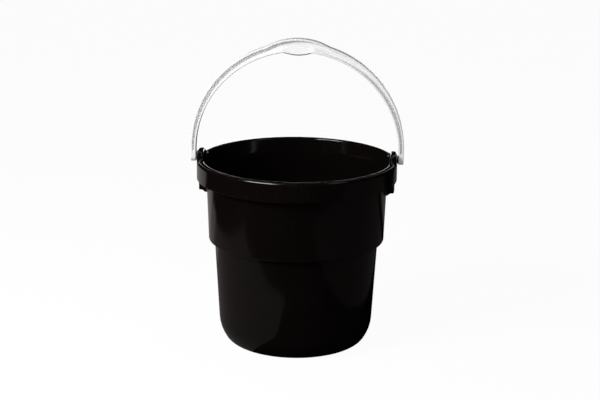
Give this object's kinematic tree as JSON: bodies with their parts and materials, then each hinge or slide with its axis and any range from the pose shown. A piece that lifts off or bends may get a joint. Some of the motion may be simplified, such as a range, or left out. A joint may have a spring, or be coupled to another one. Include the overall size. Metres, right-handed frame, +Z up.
{
  "type": "florist bucket",
  "caption": "Round tapered plastic bucket with a stepped wall, a deep rim skirt and a one-piece arched bail handle that swings between two ears on the rim.",
  "frame": {"origin": "centre of the base, on the surface that the bucket stands on", "axes": "+Z up along the bucket's axis, +X through one ear and along the handle's pivot axis, -Y towards the front; the handle stands straight up at rest"},
  "size_m": [0.3078, 0.29, 0.4475],
  "materials": {
    "black_moulding": "glossy black injection-moulded polypropylene with faint flow waves and handling scuffs",
    "white_moulding": "satin white injection-moulded polypropylene"
  },
  "bodies": {
    "bucket": {"bucket_body": "black_moulding"},
    "handle": {"bail_handle": "white_moulding"}
  },
  "joints": [
    {"name": "handle_swing", "type": "hinge", "parent": "bucket", "child": "handle", "pos_m": [0, 0, 0.2732], "axis": [1, 0, 0], "range_deg": [-117, 117]}
  ]
}
